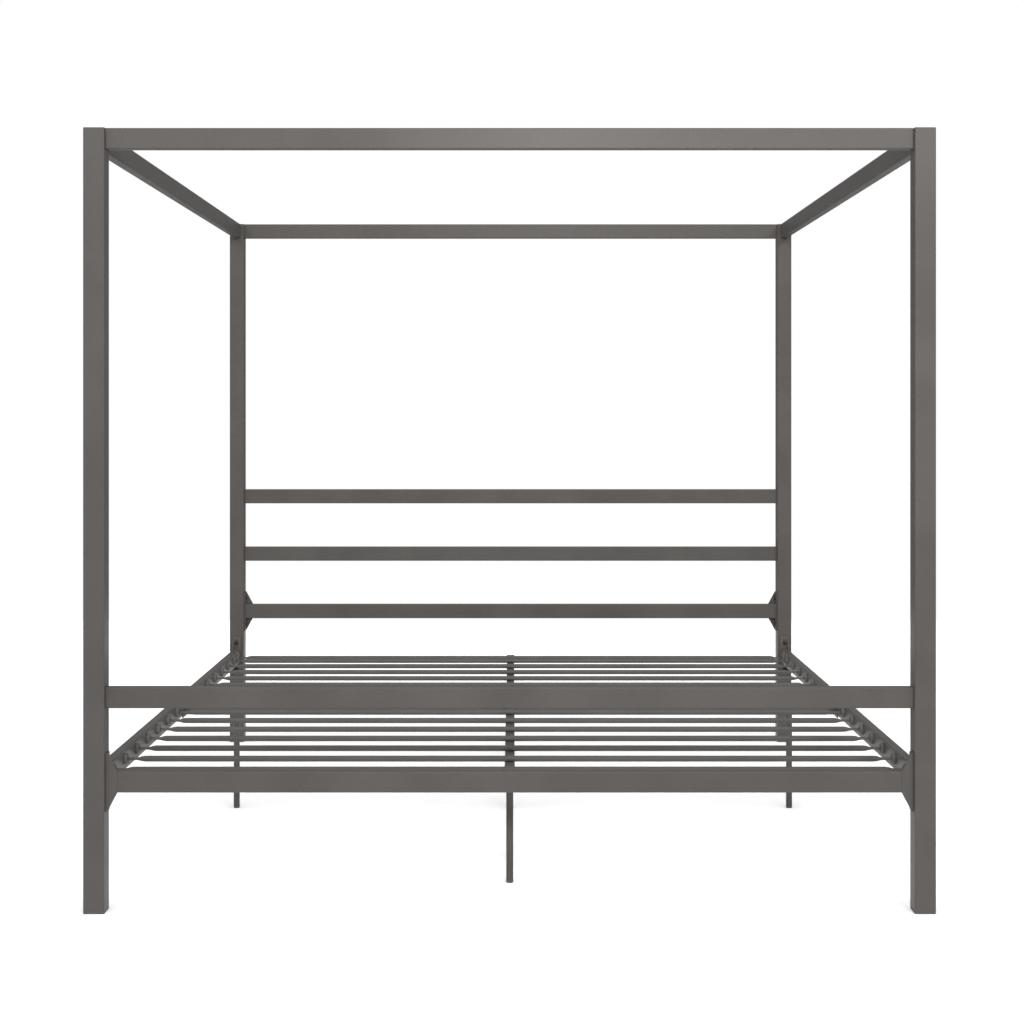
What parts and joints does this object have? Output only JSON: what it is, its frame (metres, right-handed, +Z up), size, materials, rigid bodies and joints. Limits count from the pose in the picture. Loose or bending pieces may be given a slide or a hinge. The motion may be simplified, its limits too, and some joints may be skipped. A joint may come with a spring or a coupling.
{
  "type": "four poster canopy bed",
  "caption": "Free-standing canopy bed frame of square steel tube: corner posts, railed headboard and footboard, tubular slats, centre rail and support legs.",
  "frame": {"origin": "centre of the footprint on the floor", "axes": "+X to the right seen from the foot of the bed, +Y from the footboard to the headboard, +Z up"},
  "size_m": [2.007, 2.108, 1.852],
  "materials": {
    "frame_coat": "satin graphite powder coat",
    "slat_coat": "satin graphite powder coat",
    "grey_plastic": "moulded graphite nylon, fine matt grain",
    "black_bolt": "black oxide",
    "zinc_steel": "bright zinc plate"
  },
  "bodies": {
    "root": {"post_front_left": "frame_coat", "post_front_right": "frame_coat", "post_back_left": "frame_coat", "post_back_right": "frame_coat", "post_top_caps": "grey_plastic", "post_foot_caps": "grey_plastic", "canopy_rail_front": "frame_coat", "canopy_rail_back": "frame_coat", "canopy_rail_left": "frame_coat", "canopy_rail_right": "frame_coat", "headboard_rail_top": "frame_coat", "headboard_rail_middle": "frame_coat", "headboard_rail_bottom": "frame_coat", "footboard_rail_top": "frame_coat", "footboard_rail_bottom": "frame_coat", "side_rail_front_left": "frame_coat", "side_rail_front_right": "frame_coat", "side_rail_back_left": "frame_coat", "side_rail_back_right": "frame_coat", "gusset_footboard_left": "frame_coat", "gusset_footboard_right": "frame_coat", "gusset_headboard_left": "frame_coat", "gusset_headboard_right": "frame_coat", "gusset_side_front_left": "frame_coat", "gusset_side_front_right": "frame_coat", "gusset_side_back_left": "frame_coat", "gusset_side_back_right": "frame_coat", "slat_1": "slat_coat", "slat_2": "slat_coat", "slat_3": "slat_coat", "slat_4": "slat_coat", "slat_5": "slat_coat", "slat_6": "slat_coat", "slat_7": "slat_coat", "slat_8": "slat_coat", "slat_9": "slat_coat", "slat_10": "slat_coat", "slat_11": "slat_coat", "slat_12": "slat_coat", "slat_13": "slat_coat", "slat_14": "slat_coat", "slat_15": "slat_coat", "slat_sockets_left": "grey_plastic", "slat_sockets_right": "grey_plastic", "centre_rail_front": "frame_coat", "centre_rail_back": "frame_coat", "centre_rail_hooks": "frame_coat", "mid_bar": "frame_coat", "mid_bar_fishplates": "frame_coat", "splice_sleeve_left": "zinc_steel", "splice_sleeve_right": "zinc_steel", "centre_legs": "frame_coat", "side_legs": "frame_coat", "leg_feet": "grey_plastic", "rail_spigots": "zinc_steel", "spigot_screws": "black_bolt", "gusset_bolts": "black_bolt", "post_weld_nuts": "zinc_steel", "under_frame_bolts": "black_bolt", "leg_nuts": "zinc_steel"}
  },
  "joints": []
}
